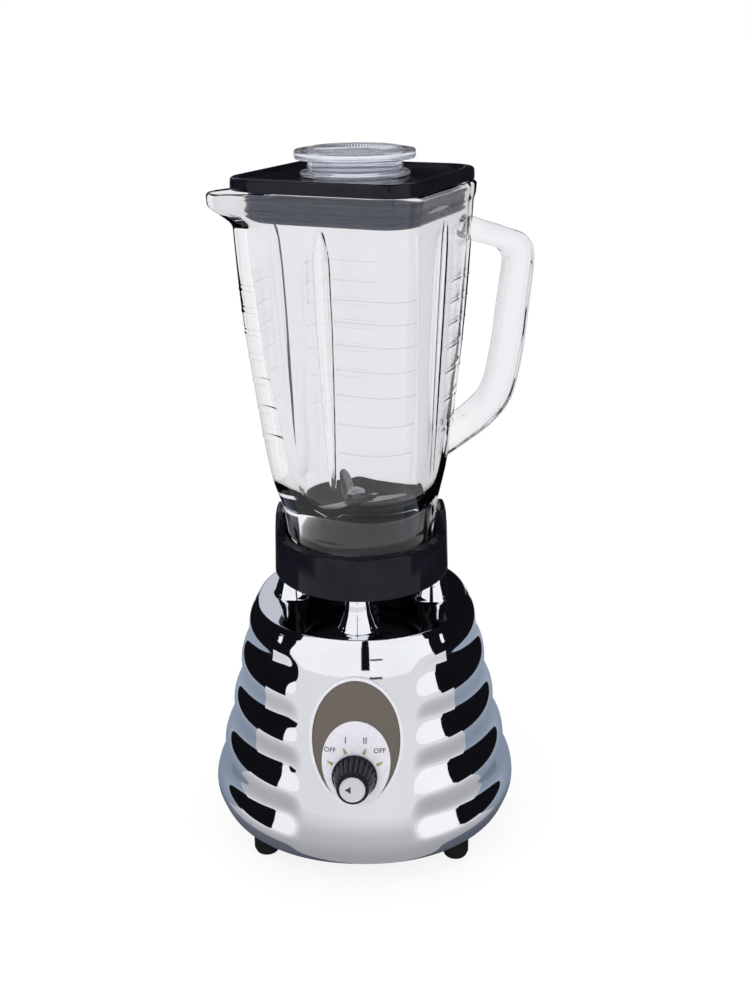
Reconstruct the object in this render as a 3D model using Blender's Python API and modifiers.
"""Countertop blender: a beehive motor base, a square glass jar, a lid and a filler cap.

Lengths are written in millimetres and turned into metres by MM. The pieces are laid out about the
motor's axis, and the empty at the top of the tree moves the whole object so that the middle of its
bounding box stands on the origin. +Z is up and the badge faces -Y.
"""
import math

import bmesh
import bpy
from mathutils import Matrix, Vector

MM = 0.001
GAP = 0.4                      # clearance between pieces that meet

# --- driving dimensions, in millimetres above the table and from the motor's axis ---
BOX_CENTRE_X = 2.5901          # middle of the object's box, measured from the axis
BOX_CENTRE_Y = 0.4012

FOOT_X, FOOT_Y = 53.0, 46.0
FOOT_RADIUS = 7.25
LUG_RADIUS = 6.0
RIM_Z_LOW = 11.0              # lower edge of the wall
STEM_HOLE = 3.4               # radius of the bore that a foot's stem goes up
CORD_Z = 34.0                 # height of the cord's inlet at the back
CORD_HOLE = 7.4

# the beehive wall: height above the table and radius at the side
WALL_STATIONS = ((11.0, 70.5), (14.0, 77.0), (19.0, 82.6), (26.0, 85.0), (35.0, 84.0), (46.0, 81.4),
                 (65.0, 76.2), (85.0, 71.7), (105.0, 67.7), (124.0, 63.8), (134.0, 60.6),
                 (138.6, 57.9))
WALL = 2.6
WALL_POWER = 2.15              # 2 is a circle, more is squarer
FRONT_FLATTENING = 0.97
DECK_Z = 139.4
DECK_HOLE = 18.0

POST_CIRCLE = 38.2
POST_TOP_Z = 168.0

PANEL_LEAN = math.radians(12.2)
KNOB_Z = 69.5                  # where the knob's axis meets the front wall
KNOB_OFFSET = -0.6             # how far the knob is to the side of the middle
KNOB_HOLE = 4.4
BADGE_Z, BADGE_HALF_W, BADGE_HALF_H = 87.7, 24.6, 34.4
INLAY_Z, INLAY_HALF_W, INLAY_HALF_H = 76.4, 18.0, 22.6

RING_TOP_Z, RING_BOTTOM_Z = 179.9, 157.1
RING_TOP_R, RING_BOTTOM_R = 46.8, 47.6
RING_LEDGE_Z = 168.4
EAR_ANGLE = math.radians(3.8)

JAR_TURN = math.radians(-21.2)     # how far the jar's faces are turned from the base's
SPOUT_ANGLE = math.radians(-156.2)
HANDLE_ANGLE = math.radians(23.8)
JAR_BOTTOM_Z, NECK_TOP_Z, SHOULDER_Z, RIM_Z = 178.0, 185.0, 215.0, 361.4
NECK_R, NECK_BORE = 39.4, 33.0
JAR_FLOOR_CORNER, JAR_RIM_CORNER = 47.5, 62.7    # corner radii at the shoulder and at the rim
JAR_FLOOR_HALF, JAR_RIM_HALF = 41.5, 48.9        # half widths across the flats
JAR_WALL, JAR_CORNER_WALL = 3.8, 5.6
SPOUT_REACH = 10.5
HANDLE_THICKNESS, HANDLE_WIDTH = 13.6, 19.0

LID_HALF, LID_CORNER = 49.4, 17.5
LID_TOP_Z, LID_RECESS_Z, LID_UNDER_Z, PLUG_BOTTOM_Z = 367.8, 366.0, 361.8, 347.0
LID_HOLE = 24.2

CAP_TOP_Z = 379.3
CAP_FLANGE_R, CAP_NECK_R, CAP_FOOT_R = 29.7, 23.2, 27.0

MOTOR_SHAFT_R = 4.0
BRUSH_Z = 104.0                # height of the brushes on the commutator
FAN_BLADES = 8
VENT_CIRCLE = 28.0             # middle of the vents in the bottom plate
BLADE_HOLE = 3.6

# --- tree, collections and materials ---

PARTS = "countertop_blender"
CUTTERS = "cutters"


def clear_scene():
    """Remove every object, so that the script can be run again in an open file."""
    for item in list(bpy.data.objects):
        bpy.data.objects.remove(item, do_unlink=True)
    for name in (PARTS, CUTTERS):
        collection = bpy.data.collections.get(name)
        if collection:
            bpy.data.collections.remove(collection)


def new_collection(name):
    collection = bpy.data.collections.new(name)
    bpy.context.scene.collection.children.link(collection)
    return collection


def finish_material(name, colour, roughness, metallic=0.0, clear=0.0):
    """A Principled material, made once for each finish."""
    found = bpy.data.materials.get(name)
    if found:
        return found
    made = bpy.data.materials.new(name)
    made.use_nodes = True
    shader = made.node_tree.nodes["Principled BSDF"]
    shader.inputs["Base Color"].default_value = (*colour, 1.0)
    shader.inputs["Roughness"].default_value = roughness
    shader.inputs["Metallic"].default_value = metallic
    shader.inputs["Transmission Weight"].default_value = clear
    made.diffuse_color = (*colour, 1.0)
    return made


def chrome():
    return finish_material("chrome", (0.86, 0.87, 0.90), 0.06, 1.0)


def steel():
    return finish_material("steel", (0.62, 0.63, 0.65), 0.30, 1.0)


def copper():
    return finish_material("copper", (0.72, 0.35, 0.20), 0.35, 1.0)


def iron():
    return finish_material("laminated_iron", (0.30, 0.30, 0.31), 0.55, 1.0)


def brass():
    return finish_material("brass", (0.78, 0.60, 0.28), 0.30, 1.0)


def black_plastic():
    return finish_material("black_plastic", (0.010, 0.009, 0.012), 0.22)


def black_rubber():
    return finish_material("black_rubber", (0.012, 0.012, 0.014), 0.75)


def clear_glass():
    return finish_material("clear_glass", (0.88, 0.95, 0.95), 0.02, 0.0, 1.0)


def clear_plastic():
    return finish_material("clear_plastic", (0.62, 0.66, 0.86), 0.04, 0.0, 1.0)


def badge_taupe():
    return finish_material("badge_taupe", (0.17, 0.14, 0.11), 0.40)


def badge_white():
    return finish_material("badge_white", (0.80, 0.79, 0.86), 0.35)


def grey_disc():
    return finish_material("grey_disc", (0.60, 0.61, 0.66), 0.35, 0.6)


# --- helpers that make objects ---


def place(name, mesh, material, parent, hidden=False):
    """Put a mesh in the scene as one named object, or as a hidden cutter."""
    item = bpy.data.objects.new(name, mesh)
    bpy.data.collections[CUTTERS if hidden else PARTS].objects.link(item)
    item.parent = parent
    if hidden:
        item.hide_render = True
        item.display_type = "WIRE"
    else:
        mesh.materials.append(material)
    return item


def empty(name, parent, location=(0.0, 0.0, 0.0), tilt=0.0):
    """A pivot; its location is in millimetres from its parent."""
    item = bpy.data.objects.new(name, None)
    bpy.data.collections[PARTS].objects.link(item)
    item.empty_display_size = 0.02
    item.parent = parent
    item.location = Vector(location) * MM
    item.rotation_euler = (tilt, 0.0, 0.0)
    return item


def smooth(mesh, angle=35.0):
    mesh.shade_smooth()
    mesh.set_sharp_from_angle(angle=math.radians(angle))


def turned(name, profile, material, parent, steps=32, closed=False, hidden=False, centre=(0.0, 0.0)):
    """A turned piece: the profile is (radius, height) pairs, down the outer side first."""
    mesh = bpy.data.meshes.new(name)
    points = [(radius * MM, 0.0, height * MM) for radius, height in profile]
    edges = [(index, index + 1) for index in range(len(points) - 1)]
    if closed:
        edges.append((len(points) - 1, 0))
    mesh.from_pydata(points, edges, [])
    item = place(name, mesh, material, parent, hidden)
    item.location = (centre[0] * MM, centre[1] * MM, 0.0)
    screw = item.modifiers.new("turn", "SCREW")
    screw.axis = "Z"
    screw.angle = math.tau
    screw.steps = steps
    screw.render_steps = steps
    screw.use_merge_vertices = True
    screw.merge_threshold = 0.00005
    screw.use_smooth_shade = True
    return item


def cylinder(name, radius, low, high, material, parent, steps=24, hidden=False, centre=(0.0, 0.0)):
    return turned(name, ((0.0, high), (radius, high), (radius, low), (0.0, low)), material, parent,
                  steps, hidden=hidden, centre=centre)


def box(name, size, middle, material, parent, bevel=0.0, hidden=False):
    """A box with its edges rounded by a Bevel modifier."""
    mesh = bpy.data.meshes.new(name)
    work = bmesh.new()
    bmesh.ops.create_cube(work, size=1.0)
    bmesh.ops.scale(work, vec=Vector(size) * MM, verts=work.verts)
    work.to_mesh(mesh)
    work.free()
    item = place(name, mesh, material, parent, hidden)
    item.location = Vector(middle) * MM
    if bevel:
        rounding = item.modifiers.new("rounded edges", "BEVEL")
        rounding.width = bevel * MM
        rounding.segments = 2
    return item


def loft(name, loops, material, parent, hidden=False):
    """A closed ring of sections: each joins the next, and the last joins the first."""
    mesh = bpy.data.meshes.new(name)
    work = bmesh.new()
    rows = [[work.verts.new(Vector(point) * MM) for point in loop] for loop in loops]
    count = len(loops[0])
    for row, following in zip(rows, rows[1:] + rows[:1]):
        for index in range(count):
            after = (index + 1) % count
            work.faces.new((row[index], row[after], following[after], following[index]))
    bmesh.ops.recalc_face_normals(work, faces=work.faces)
    work.to_mesh(mesh)
    work.free()
    smooth(mesh)
    return place(name, mesh, material, parent, hidden)


def combine(item, other, operation):
    step = item.modifiers.new(operation.lower() + " " + other.name, "BOOLEAN")
    step.operation = operation
    step.solver = "EXACT"
    step.object = other


# --- section shapes ---


def blend(start, end, share):
    return start + (end - start) * share


def section_angles(count):
    """Angles round a section, closer together at the corners of a square than on its sides."""
    crowding = 0.55
    even = [math.tau * index / count for index in range(count)]
    return [angle + crowding * math.sin(4.0 * angle) / 4.0 for angle in even]


def rounded_square(angle, half, corner):
    """Distance from the middle to the edge of a square with round corners."""
    corner = min(corner, half)
    turn = abs((angle + math.pi / 4.0) % (math.pi / 2.0) - math.pi / 4.0)
    if half * math.tan(turn) <= half - corner:
        return half / math.cos(turn)
    reach = (half - corner) * math.sqrt(2.0)
    off = turn - math.pi / 4.0
    return reach * math.cos(off) + math.sqrt(corner ** 2 - (reach * math.sin(off)) ** 2)


def square_loop(half, corner, height, count):
    """A level rounded square, turned with the jar."""
    points = []
    for angle in section_angles(count):
        radius = rounded_square(angle, half, corner)
        points.append((radius * math.cos(angle + JAR_TURN), radius * math.sin(angle + JAR_TURN), height))
    return points


def round_loop(radius, height, count):
    return square_loop(radius, radius, height, count)


def wall_radius(height):
    """Radius of the beehive wall at its side, smooth through the stations."""
    stations = WALL_STATIONS
    last = len(stations) - 1
    index = max(i for i in range(last) if stations[i][0] <= max(height, stations[0][0]))
    before, start, end, after = (stations[max(index - 1, 0)], stations[index], stations[index + 1],
                                 stations[min(index + 2, last)])
    span = end[0] - start[0]
    share = min((height - start[0]) / span, 1.0)
    slope_start = (end[1] - before[1]) / (end[0] - before[0]) * span
    slope_end = (after[1] - start[1]) / (after[0] - start[0]) * span
    cube, square = share ** 3, share ** 2
    return ((2 * cube - 3 * square + 1) * start[1] + (cube - 2 * square + share) * slope_start
            + (3 * square - 2 * cube) * end[1] + (cube - square) * slope_end)


def wall_point(angle, radius, height):
    """A point of the beehive's section: nearly round, a little flatter in front."""
    along, across = math.cos(angle), math.sin(angle)
    size = (abs(along) ** WALL_POWER + abs(across) ** WALL_POWER) ** (-1.0 / WALL_POWER)
    depth = FRONT_FLATTENING if across < 0.0 else 1.0
    return (radius * size * along, radius * size * across * depth, height)


def wall_loop(radius, height, count):
    return [wall_point(math.tau * index / count, radius, height) for index in range(count)]


def round_ring(radius, height, count):
    return [(radius * math.cos(math.tau * index / count), radius * math.sin(math.tau * index / count),
             height) for index in range(count)]


def front_depth(across, height):
    """How far in front of the axis the wall is."""
    radius = wall_radius(height)
    return FRONT_FLATTENING * radius * (1.0 - abs(across / radius) ** WALL_POWER) ** (1.0 / WALL_POWER)


# --- the base ---


def make_post(parent, angle):
    """One of the cast posts that carry the jar, on a flared foot."""
    profile = ((0.0, POST_TOP_Z), (4.9, POST_TOP_Z), (5.5, 167.0), (5.6, 157.0), (6.2, 150.0),
               (7.6, 145.0), (9.6, 142.2), (10.4, 138.0), (0.0, 138.0))
    centre = (POST_CIRCLE * math.cos(angle), POST_CIRCLE * math.sin(angle))
    return turned("post_shape", profile, None, parent, 14, hidden=True, centre=centre)


def foot_places():
    return [(side * FOOT_X, end * FOOT_Y) for side in (-1.0, 1.0) for end in (-1.0, 1.0)]


def make_housing(parent, knob_pivot):
    """The one-piece die-cast shell with its deck and four posts."""
    count = 44
    loops = [round_ring(DECK_HOLE, DECK_Z, count), wall_loop(56.9, DECK_Z, count)]
    outer = [(wall_radius(height), height) for height in (138.6, 134.0, 124.0, 95.0, 65.0, 46.0,
                                                          35.0, 26.0, 19.0, 14.0, 11.0)]
    loops += [wall_loop(radius, height, count) for radius, height in outer]
    inner = [(wall_radius(height) - WALL, height) for height in (11.0, 14.5, 26.0, 46.0, 65.0, 95.0,
                                                                 134.0)]
    loops += [wall_loop(radius, height, count) for radius, height in inner]
    loops += [wall_loop(53.0, DECK_Z - WALL, count), round_ring(DECK_HOLE, DECK_Z - WALL, count)]
    housing = loft("housing", loops, chrome(), parent)
    for index in range(4):
        combine(housing, make_post(parent, index * math.pi / 2.0), "UNION")
    for centre in foot_places():
        lug = cylinder("lug_shape", LUG_RADIUS, RIM_Z_LOW, 19.0, None, parent, 14, True, centre)
        combine(housing, lug, "UNION")
        bore = cylinder("lug_bore_shape", STEM_HOLE, 5.0, 25.0, None, parent, 12, True, centre)
        combine(housing, bore, "DIFFERENCE")
    knob_hole = cylinder("knob_hole", KNOB_HOLE, -8.0, 8.0, None, knob_pivot, hidden=True)
    combine(housing, knob_hole, "DIFFERENCE")
    cord_hole = cylinder("cord_hole", CORD_HOLE, -12.0, 12.0, None, parent, hidden=True)
    cord_hole.rotation_euler = (math.pi / 2.0, 0.0, 0.0)
    cord_hole.location = (0.0, (wall_radius(CORD_Z) - WALL) * MM, CORD_Z * MM)
    combine(housing, cord_hole, "DIFFERENCE")
    return housing, knob_hole


def panel_patch(name, middle_z, half_width, half_height, inner, outer, material, parent):
    """An oval plate that follows the front wall, between two distances in front of it."""
    rings, spokes = 3, 24
    mesh = bpy.data.meshes.new(name)
    work = bmesh.new()

    def sheet(lift):
        def point(share, index):
            angle = math.tau * index / spokes
            across = share * half_width * math.cos(angle)
            height = middle_z + share * half_height * math.sin(angle)
            return work.verts.new(Vector((across, -front_depth(across, height) - lift, height)) * MM)

        rows = [[point((ring + 1) / rings, index) for index in range(spokes)] for ring in range(rings)]
        middle = point(0.0, 0)
        for index in range(spokes):
            after = (index + 1) % spokes
            work.faces.new((middle, rows[0][index], rows[0][after]))
            for row, following in zip(rows, rows[1:]):
                work.faces.new((row[index], following[index], following[after], row[after]))
        return rows[-1]

    back, front = sheet(inner), sheet(outer)
    for index in range(spokes):
        after = (index + 1) % spokes
        work.faces.new((back[index], back[after], front[after], front[index]))
    bmesh.ops.recalc_face_normals(work, faces=work.faces)
    work.to_mesh(mesh)
    work.free()
    smooth(mesh)
    return place(name, mesh, material, parent)


def make_badge(parent, knob_hole):
    plate = panel_patch("badge_plate", BADGE_Z, BADGE_HALF_W, BADGE_HALF_H, GAP, 1.4,
                        badge_taupe(), parent)
    inlay = panel_patch("badge_inlay", INLAY_Z, INLAY_HALF_W, INLAY_HALF_H, 1.4 + GAP, 2.2,
                        badge_white(), parent)
    for item in (plate, inlay):
        combine(item, knob_hole, "DIFFERENCE")


def make_bottom(parent):
    """The plate that closes the base, its feet and their screws, and the cord's inlet."""
    profile = ((0.0, 15.0), (66.5, 15.0), (67.0, 14.5), (67.0, 12.5), (66.5, 12.0), (0.0, 12.0))
    plate = turned("bottom_plate", profile, black_plastic(), parent, 32)
    plate.scale = (1.0, 0.96, 1.0)
    for centre in foot_places():
        notch = cylinder("notch_shape", LUG_RADIUS + 0.6, 8.0, 20.0, None, parent, 14, True, centre)
        combine(plate, notch, "DIFFERENCE")
    for index in range(6):
        angle = math.tau * (index + 0.5) / 6.0
        slot = box("vent_shape", (22.0, 5.0, 12.0), (VENT_CIRCLE * math.cos(angle), VENT_CIRCLE * math.sin(angle), 13.5),
                   None, parent, hidden=True)
        slot.rotation_euler = (0.0, 0.0, angle)
        combine(plate, slot, "DIFFERENCE")
    top = RIM_Z_LOW - GAP
    foot = ((0.0, 22.0), (2.6, 22.0), (3.0, 21.5), (3.0, top), (6.6, top), (FOOT_RADIUS, top - 0.8),
            (FOOT_RADIUS, 3.0), (6.2, 1.0), (4.2, 0.0), (0.0, 0.0))
    washer = ((3.4, 20.6), (5.6, 20.6), (5.8, 20.4), (5.8, 19.4), (3.4, 19.4))
    for index, centre in enumerate(foot_places()):
        turned("foot_%d" % (index + 1), foot, black_rubber(), parent, 16, centre=centre)
        turned("foot_washer_%d" % (index + 1), washer, steel(), parent, 12, True, centre=centre)
    grommet = ((2.2, 10.0), (5.2, 10.0), (6.0, 9.0), (6.8, 3.4), (9.4, 3.0), (9.8, 2.4),
               (9.8, 0.9), (9.4, 0.4), (6.9, 0.4), (6.9, -5.0), (2.6, -5.0))
    rubber = turned("cord_grommet", grommet, black_rubber(), parent, 16, closed=True)
    rubber.rotation_euler = (-math.pi / 2.0 + 0.06, 0.0, 0.0)
    rubber.location = (0.0, (wall_radius(CORD_Z) + 0.3) * MM, CORD_Z * MM)


def make_motor_frame(parent):
    """The still pieces of the motor inside the base."""
    core = ((24.0, 79.0), (38.0, 79.0), (38.0, 46.0), (24.0, 46.0))
    turned("stator_core", core, iron(), parent, 24, closed=True)
    for name, low in (("field_coil_top", 79.0 + GAP), ("field_coil_bottom", 37.0 - GAP)):
        coil = ((25.0, low + 9.0), (32.0, low + 9.0), (35.0, low + 4.5), (32.0, low), (25.0, low))
        turned(name, coil, copper(), parent, 16, closed=True)
    bearing = ((4.5, 3.5), (11.0, 3.5), (11.0, -3.5), (4.5, -3.5))
    for name, middle in (("lower_bearing", 24.0), ("upper_bearing", 126.0)):
        item = turned(name, bearing, steel(), parent, 16, closed=True)
        item.location = (0.0, 0.0, middle * MM)
        cup = ((11.4, 5.0), (15.0, 5.0), (15.6, 0.0), (52.0, 0.0), (52.0, -2.5), (8.0, -5.0),
               (8.0, -3.9), (11.4, -3.9))
        bracket = turned(name.replace("bearing", "bracket"), cup, iron(), parent, 18, closed=True)
        bracket.location = (0.0, 0.0, middle * MM)
    for name, side in (("left", -1.0), ("right", 1.0)):
        holder = box("brush_holder_" + name, (19.0, 11.0, 11.0), (side * 24.0, 0.0, BRUSH_Z), brass(),
                     parent)
        bore = box("holder_bore_shape", (24.0, 7.4, 7.4), (side * 24.0, 0.0, BRUSH_Z), None, parent,
                   hidden=True)
        combine(holder, bore, "DIFFERENCE")
        box("carbon_brush_" + name, (12.0, 6.4, 6.4), (side * 17.2, 0.0, BRUSH_Z), iron(), parent)
        spring = cylinder("brush_spring_" + name, 2.6, -4.2, 4.2, steel(), parent, 12)
        spring.rotation_euler = (0.0, math.pi / 2.0, 0.0)
        spring.location = (side * 28.2 * MM, 0.0, BRUSH_Z * MM)


def make_switch(parent, knob_pivot):
    """The rotary switch behind the panel, with the bore that the knob's shaft turns in."""
    body = box("rotary_switch", (26.0, 24.0, 14.0), (0.0, 0.0, -13.5), black_plastic(), knob_pivot,
               bevel=1.0)
    bore = cylinder("switch_bore_shape", 3.8, -16.0, -2.0, None, knob_pivot, hidden=True)
    combine(body, bore, "DIFFERENCE")


def make_rotor(parent):
    """Everything that spins in the base."""
    shaft = ((0.0, 140.6), (MOTOR_SHAFT_R, 140.6), (MOTOR_SHAFT_R, 20.5), (3.0, 19.5), (0.0, 19.5))
    turned("armature_shaft", shaft, steel(), parent, 14)
    sleeve = MOTOR_SHAFT_R + GAP

    def around_shaft(name, radius, low, high, material, steps=16, edge=1.0):
        profile = ((sleeve, high), (radius - edge, high), (radius, high - edge), (radius, low),
                   (sleeve, low))
        return turned(name, profile, material, parent, steps, closed=True)

    around_shaft("armature_core", 22.8, 47.0, 78.0, iron())
    around_shaft("armature_winding_top", 18.0, 78.0 + GAP, 89.0, copper(), edge=4.0)
    around_shaft("armature_winding_bottom", 18.0, 37.5, 47.0 - GAP, copper(), edge=4.0)
    around_shaft("commutator", 10.6, 96.0, 112.0, brass())
    fan = around_shaft("cooling_fan", 10.0, 30.0, 36.6, black_plastic())
    for index in range(FAN_BLADES):
        blade = box("fan_blade_shape", (24.0, 1.6, 5.4), (0.0, 0.0, 0.0), None, parent, hidden=True)
        turn = Matrix.Rotation(math.tau * index / FAN_BLADES, 4, "Z")
        blade.matrix_local = turn @ Matrix.Translation(Vector((20.0, 0.0, 33.2)) * MM)
        combine(fan, blade, "UNION")
    stud = turned("drive_stud", ((0.0, 153.0), (5.2, 153.0), (5.8, 152.0), (5.8, 145.0), (10.5, 144.4),
                                 (10.5, 140.6 + GAP), (0.0, 140.6 + GAP)), steel(), parent, 4)
    stud.rotation_euler = (0.0, 0.0, math.pi / 4.0)


def make_knob(knob_pivot):
    """The fluted speed knob with its shaft, and the pale disc on its end."""
    profile = ((0.0, 19.2), (7.9, 19.2), (8.25, 18.7), (11.7, 3.6), (11.7, 2.8), (3.2, 2.8),
               (3.2, -14.0), (0.0, -14.0))
    turned("speed_knob", profile, black_plastic(), knob_pivot, 28)
    disc = ((0.0, 20.2), (6.5, 20.2), (6.85, 19.9), (6.85, 19.2 + GAP), (0.0, 19.2 + GAP))
    turned("knob_disc", disc, grey_disc(), knob_pivot, 24)


# --- the jar ---


def make_ring(parent):
    """The threaded ring that holds the blades to the jar and sits on the posts."""
    profile = ((41.0, RING_TOP_Z - 0.6), (41.6, RING_TOP_Z), (45.9, RING_TOP_Z),
               (RING_TOP_R, RING_TOP_Z - 0.8), (RING_BOTTOM_R, RING_BOTTOM_Z + 0.6),
               (47.2, RING_BOTTOM_Z), (44.7, RING_BOTTOM_Z), (44.5, RING_LEDGE_Z),
               (33.5, RING_LEDGE_Z), (33.5, 171.6), (40.4, 171.6))
    ring = turned("threaded_ring", profile, black_plastic(), parent, 36, closed=True)
    for turn in (EAR_ANGLE, EAR_ANGLE + math.pi):
        wall = ((43.2, 192.0), (45.6, 192.0), (46.7, RING_TOP_Z + 1.0), (46.7, RING_TOP_Z - 2.0),
                (43.2, RING_TOP_Z - 2.0))
        ear = turned("ear_shape", wall, None, parent, 36, closed=True, hidden=True)
        window = box("ear_window_shape", (14.0, 17.0, 30.0), (0.0, 0.0, 0.0), None, parent, hidden=True)
        window.matrix_local = (Matrix.Rotation(turn, 4, "Z")
                               @ Matrix.Translation(Vector((46.0, 0.0, 188.0)) * MM))
        combine(ear, window, "INTERSECT")
        combine(ring, ear, "UNION")
    return ring


def make_jar_bottom(parent):
    gasket = ((NECK_BORE, 177.6), (39.2, 177.6), (39.2, 175.5), (NECK_BORE, 175.5))
    turned("sealing_gasket", gasket, black_rubber(), parent, 24, closed=True)
    base = ((5.0, 188.0), (9.0, 188.0), (11.0, 185.0), (15.0, 178.0), (24.0, 175.1), (38.8, 175.1),
            (39.4, 174.5), (39.4, 172.0), (22.0, 172.0), (12.0, 170.0), (10.0, 163.0), (5.0, 163.0))
    turned("blade_base", base, steel(), parent, 24, closed=True)


def blade_pair(name, height, rise, length, width, turn, material, parent):
    """Two wings of one strip, bent up or down outside the hub."""
    hub_half = 8.0
    mesh = bpy.data.meshes.new(name)
    work = bmesh.new()
    bmesh.ops.create_grid(work, x_segments=8, y_segments=2, size=0.5)
    for vertex in work.verts:
        along, across = vertex.co.x * 2.0 * length, vertex.co.y
        out = max(0.0, abs(along) - hub_half)
        narrowing = 1.0 - 0.55 * out / (length - hub_half)
        vertex.co = Vector((along, across * width * narrowing, rise * out)) * MM
    work.to_mesh(mesh)
    work.free()
    item = place(name, mesh, material, parent)
    item.location = (0.0, 0.0, height * MM)
    item.rotation_euler = (0.0, 0.0, turn)
    thickness = item.modifiers.new("thickness", "SOLIDIFY")
    thickness.thickness = 1.5 * MM
    thickness.offset = 0.0
    hole = cylinder("blade_hole_shape", BLADE_HOLE, -4.0, 4.0, None, parent, 16, hidden=True)
    hole.location = (0.0, 0.0, height * MM)
    combine(item, hole, "DIFFERENCE")


def make_blades(parent):
    shaft = ((0.0, 201.0), (3.2, 201.0), (3.2, 190.4), (4.6, 190.0), (4.6, 162.0), (3.2, 161.6),
             (0.0, 161.6))
    turned("blade_shaft", shaft, steel(), parent, 14)
    blade_pair("blade_lower", 191.8, -0.18, 27.0, 13.0, 0.5, steel(), parent)
    blade_pair("blade_upper", 194.4, 0.75, 21.0, 12.0, 2.07, steel(), parent)
    nut = ((4.2, 200.4), (6.2, 200.4), (6.8, 199.8), (6.8, 195.8), (4.2, 195.8))
    turned("blade_nut", nut, steel(), parent, 6, closed=True)
    socket = turned("drive_socket", ((0.0, 161.2), (8.4, 161.2), (9.2, 160.4), (9.2, 146.6),
                                     (8.6, 146.0), (0.0, 146.0)), steel(), parent, 24)
    recess = box("socket_recess_shape", (10.0, 10.0, 16.0), (0.0, 0.0, 147.6), None, parent,
                 hidden=True)
    combine(socket, recess, "DIFFERENCE")


def jar_half(height):
    return blend(JAR_FLOOR_HALF, JAR_RIM_HALF, max(0.0, (height - SHOULDER_Z) / (RIM_Z - SHOULDER_Z)))


def jar_corner_reach(height):
    """Distance from the axis to the jar's corner: fuller towards the rim."""
    share = max(0.0, (height - SHOULDER_Z) / (RIM_Z - SHOULDER_Z)) ** 0.8
    return blend(JAR_FLOOR_CORNER, JAR_RIM_CORNER, share)


def jar_section(height, inset, corner_inset, count):
    """One section of the jar's wall, with the spout drawn out near the rim."""
    half = jar_half(height) - inset
    reach = jar_corner_reach(height) - corner_inset
    corner = (half * math.sqrt(2.0) - reach) / (math.sqrt(2.0) - 1.0)
    lift = min(max((height - 344.0) / 12.0, 0.0), 1.0)
    lift = lift * lift * (3.0 - 2.0 * lift)
    points = []
    for angle in section_angles(count):
        radius = rounded_square(angle, half, corner)
        across = math.remainder(angle + JAR_TURN - SPOUT_ANGLE, math.tau) / math.radians(13.0)
        radius += SPOUT_REACH * lift * math.exp(-across * across)
        points.append((radius * math.cos(angle + JAR_TURN), radius * math.sin(angle + JAR_TURN), height))
    return points


def make_handle(parent):
    """The glass handle: a tube bent to its grip, widened sideways, ready to join to the jar."""
    path = ((57.0, 338.5), (66.0, 336.2), (77.0, 332.0), (86.0, 328.0), (90.4, 319.0), (89.6, 300.0),
            (87.2, 280.0), (84.0, 259.0), (80.6, 248.5), (73.5, 240.0), (64.0, 233.5), (47.0, 224.5))
    curve = bpy.data.curves.new("handle_path", "CURVE")
    curve.dimensions = "3D"
    curve.resolution_u = 2
    curve.bevel_depth = HANDLE_THICKNESS / 2.0 * MM
    curve.bevel_resolution = 2
    curve.use_fill_caps = True
    spline = curve.splines.new("BEZIER")
    spline.bezier_points.add(len(path) - 1)
    for knot, (reach, height) in zip(spline.bezier_points, path):
        knot.co = Vector((reach, 0.0, height)) * MM
        knot.handle_left_type = "AUTO"
        knot.handle_right_type = "AUTO"
    guide = bpy.data.objects.new("handle_guide", curve)
    bpy.data.collections[CUTTERS].objects.link(guide)
    bpy.context.view_layer.update()
    solid = bpy.data.meshes.new_from_object(guide.evaluated_get(bpy.context.evaluated_depsgraph_get()))
    work = bmesh.new()
    work.from_mesh(solid)
    bmesh.ops.remove_doubles(work, verts=work.verts, dist=0.00001)
    bmesh.ops.scale(work, vec=(1.0, HANDLE_WIDTH / HANDLE_THICKNESS, 1.0), verts=work.verts)
    bmesh.ops.recalc_face_normals(work, faces=work.faces)
    work.to_mesh(solid)
    work.free()
    smooth(solid)
    bpy.data.objects.remove(guide, do_unlink=True)
    handle = place("handle_shape", solid, None, parent, hidden=True)
    handle.rotation_euler = (0.0, 0.0, HANDLE_ANGLE)
    return handle


def make_jar(parent):
    count = 44
    outer = [(NECK_R, JAR_BOTTOM_Z), (NECK_R, NECK_TOP_Z), (41.4, 192.0), (43.4, 199.5), (45.4, 207.0)]
    loops = [round_loop(radius, height, count) for radius, height in outer]
    heights = (SHOULDER_Z, 232.0, 262.0, 294.0, 326.0, 344.0, 350.0, 356.0, RIM_Z)
    loops += [jar_section(height, 0.0, 0.0, count) for height in heights]
    inner_heights = (RIM_Z, 356.0, 350.0, 344.0, 326.0, 294.0, 262.0, 232.0, SHOULDER_Z + 2.0)
    loops += [jar_section(height, JAR_WALL, JAR_CORNER_WALL, count) for height in inner_heights]
    inner = [(40.2, 209.0), (37.2, 202.0), (NECK_BORE, 197.0), (NECK_BORE, JAR_BOTTOM_Z)]
    loops += [round_loop(radius, height, count) for radius, height in inner]
    jar = loft("glass_jar", loops, clear_glass(), parent)
    combine(jar, make_handle(parent), "UNION")


# --- the lid and the cap ---


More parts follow.
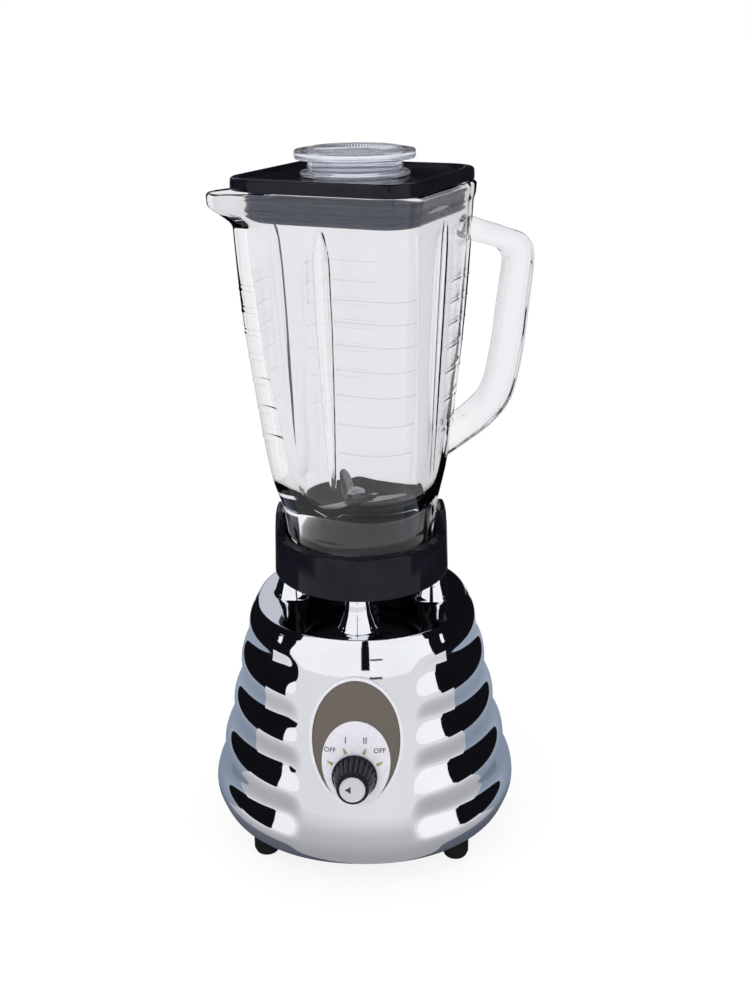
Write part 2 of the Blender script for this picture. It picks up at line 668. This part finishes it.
def make_lid(parent):
    """A square lid: a raised lip round a recessed top, and a ribbed plug that fills the jar's mouth."""
    count = 40
    plug, plug_corner = 42.9, 14.4     # half width and corner radius of the plug
    loops = [round_loop(LID_HOLE, LID_RECESS_Z, count)]
    top = ((45.0, 14.0, LID_RECESS_Z), (45.9, 14.6, LID_TOP_Z), (48.6, 17.0, LID_TOP_Z),
           (LID_HALF, LID_CORNER, LID_TOP_Z - 1.0), (LID_HALF, LID_CORNER, LID_UNDER_Z))
    loops += [square_loop(half, corner, height, count) for half, corner, height in top]
    loops.append(square_loop(plug, plug_corner, LID_UNDER_Z, count))
    for height in (358.5, 354.5, 350.5):
        loops.append(square_loop(plug, plug_corner, height, count))
        loops.append(square_loop(plug + 0.6, plug_corner + 0.6, height - 1.5, count))
    loops.append(square_loop(plug - 0.4, plug_corner, PLUG_BOTTOM_Z, count))
    loops.append(square_loop(plug - 2.6, plug_corner - 2.0, PLUG_BOTTOM_Z, count))
    loops.append(square_loop(plug - 2.6, plug_corner - 2.0, 363.0, count))
    collar = ((LID_HOLE + 2.6, 363.0), (LID_HOLE + 2.6, 357.0), (LID_HOLE, 357.0))
    loops += [round_loop(radius, height, count) for radius, height in collar]
    loft("jar_lid", loops, black_plastic(), parent)


def make_cap(parent):
    """The clear filler cap: a flange with a raised ring, and a cup that drops into the lid's hole."""
    flange_top = CAP_TOP_Z - 1.4
    foot_z = LID_RECESS_Z + GAP
    profile = ((0.0, flange_top - 0.6), (21.2, flange_top - 0.6), (21.7, CAP_TOP_Z),
               (22.9, CAP_TOP_Z), (23.4, flange_top), (29.2, flange_top), (CAP_FLANGE_R, flange_top - 0.6),
               (CAP_FLANGE_R, flange_top - 3.4), (29.2, flange_top - 3.8), (24.4, flange_top - 4.0),
               (CAP_NECK_R, flange_top - 5.0), (CAP_NECK_R, foot_z + 2.2), (26.4, foot_z + 1.6),
               (CAP_FOOT_R, foot_z + 1.0), (CAP_FOOT_R, foot_z), (LID_HOLE - 1.0, foot_z),
               (22.4, 348.0), (20.4, 348.0), (20.9, flange_top - 2.8), (0.0, flange_top - 2.8))
    turned("filler_cap", profile, clear_plastic(), parent, 28)


def main():
    clear_scene()
    new_collection(PARTS)
    new_collection(CUTTERS)
    root = empty("blender_root", None, (-BOX_CENTRE_X, -BOX_CENTRE_Y, 0.0))
    knob_at = (KNOB_OFFSET, -front_depth(KNOB_OFFSET, KNOB_Z), KNOB_Z)
    knob_pivot = empty("knob_pivot", root, knob_at, math.pi / 2.0 - PANEL_LEAN)
    rotor = empty("rotor_axis", root)
    jar = empty("jar_axis", root)
    blades = empty("blade_axis", jar)
    lid = empty("lid_axis", jar)
    cap = empty("cap_axis", lid)

    knob_hole = make_housing(root, knob_pivot)[1]
    make_badge(root, knob_hole)
    make_bottom(root)
    make_motor_frame(root)
    make_switch(root, knob_pivot)
    make_rotor(rotor)
    make_knob(knob_pivot)
    make_ring(jar)
    make_jar_bottom(jar)
    make_jar(jar)
    make_blades(blades)
    make_lid(lid)
    make_cap(cap)


main()
